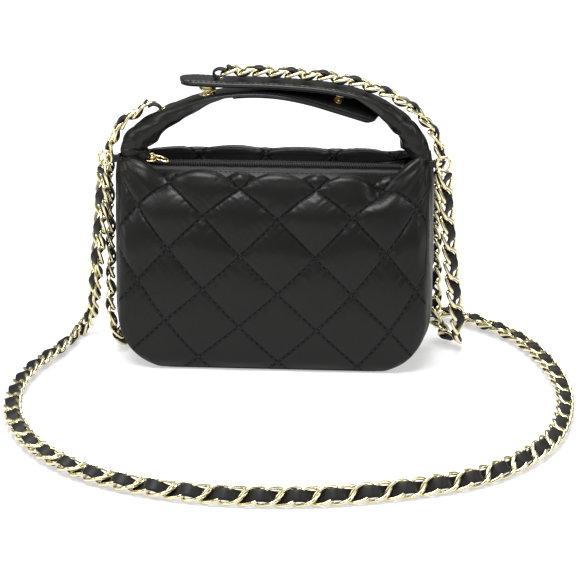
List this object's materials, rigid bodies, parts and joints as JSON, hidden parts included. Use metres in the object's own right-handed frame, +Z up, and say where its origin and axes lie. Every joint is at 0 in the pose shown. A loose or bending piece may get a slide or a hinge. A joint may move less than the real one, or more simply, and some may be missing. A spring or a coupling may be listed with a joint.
{
  "type": "crossbody purse",
  "caption": "Small quilted leather purse with round lower corners, a zip mouth, a snapped two-strap handle, and a long woven chain strap lying in a loop.",
  "frame": {"origin": "middle of the base's underside", "axes": "+Z up, +X to the right seen from the front, the front panel faces -Y"},
  "size_m": [0.3471, 0.3151, 0.1973],
  "materials": {
    "black_leather": "smooth black lambskin-look leather, soft gloss, fine grain",
    "lining_cloth": "plain black woven lining",
    "wadding": "off-white quilting wadding",
    "board": "stiff base board",
    "tape_cloth": "black woven zip tape",
    "zip_teeth": "black nylon zip teeth",
    "gold_metal": "polished pale-gold plated metal",
    "woven_chain": "pale-gold curb chain woven with a black leather lace"
  },
  "bodies": {
    "bag": {"front_panel": "black_leather", "back_panel": "black_leather", "front_padding": "wadding", "back_padding": "wadding", "front_lining": "lining_cloth", "back_lining": "lining_cloth", "gusset_left": "black_leather", "gusset_right": "black_leather", "gusset_lining_left": "lining_cloth", "gusset_lining_right": "lining_cloth", "base_panel": "black_leather", "base_board": "board", "base_lining": "lining_cloth", "mouth_facing_front": "black_leather", "mouth_facing_back": "black_leather", "zip_end_left": "black_leather", "zip_end_right": "black_leather", "ring_left": "gold_metal", "ring_right": "gold_metal", "ring_tab_left": "black_leather", "ring_tab_right": "black_leather", "chain_left_drop": "woven_chain", "chain_floor_loop": "woven_chain", "chain_left_rise": "woven_chain", "chain_right_loop": "woven_chain"},
    "front_tape": {"front_zip_tape": "tape_cloth", "front_zip_teeth": "zip_teeth"},
    "back_tape": {"back_zip_tape": "tape_cloth", "back_zip_teeth": "zip_teeth"},
    "slider": {"zip_slider": "gold_metal"},
    "pull": {"pull_tab": "gold_metal"},
    "handle": {"under_strap": "black_leather", "under_strap_lining": "black_leather", "under_eyelet": "gold_metal", "snap_stud_left": "gold_metal", "snap_stud_right": "gold_metal", "chain_under_strap": "woven_chain"},
    "top_strap": {"over_strap": "black_leather", "over_strap_lining": "black_leather", "over_eyelet": "gold_metal", "snap_socket_left": "gold_metal", "snap_socket_right": "gold_metal", "chain_over_strap": "woven_chain"}
  },
  "joints": [
    {"name": "handle_swing", "type": "hinge", "parent": "bag", "child": "handle", "pos_m": [0, 0, 0.138], "axis": [1, 0, 0], "range_deg": [-30, 30]},
    {"name": "strap_unsnap", "type": "hinge", "parent": "handle", "child": "top_strap", "pos_m": [0.094, 0, 0.14], "axis": [0, 1, 0], "range_deg": [0, 70]},
    {"name": "zip_travel", "type": "slide", "parent": "bag", "child": "slider", "axis": [1, 0, 0], "range_m": [0, 0.15]},
    {"name": "pull_flip", "type": "hinge", "parent": "slider", "child": "pull", "pos_m": [-0.078, 0, 0.1321], "axis": [0, -1, 0], "range_deg": [0, 55]},
    {"name": "front_tape_fold", "type": "hinge", "parent": "bag", "child": "front_tape", "pos_m": [0, -0.0095, 0.127], "axis": [-1, 0, 0], "range_deg": [0, 80]},
    {"name": "back_tape_fold", "type": "hinge", "parent": "bag", "child": "back_tape", "pos_m": [0, 0.0095, 0.127], "axis": [1, 0, 0], "range_deg": [0, 80]}
  ],
  "couplings": [
    {"joint": "front_tape_fold", "follows": "zip_travel", "rad_per_m": 9.3},
    {"joint": "back_tape_fold", "follows": "zip_travel", "rad_per_m": 9.3}
  ]
}
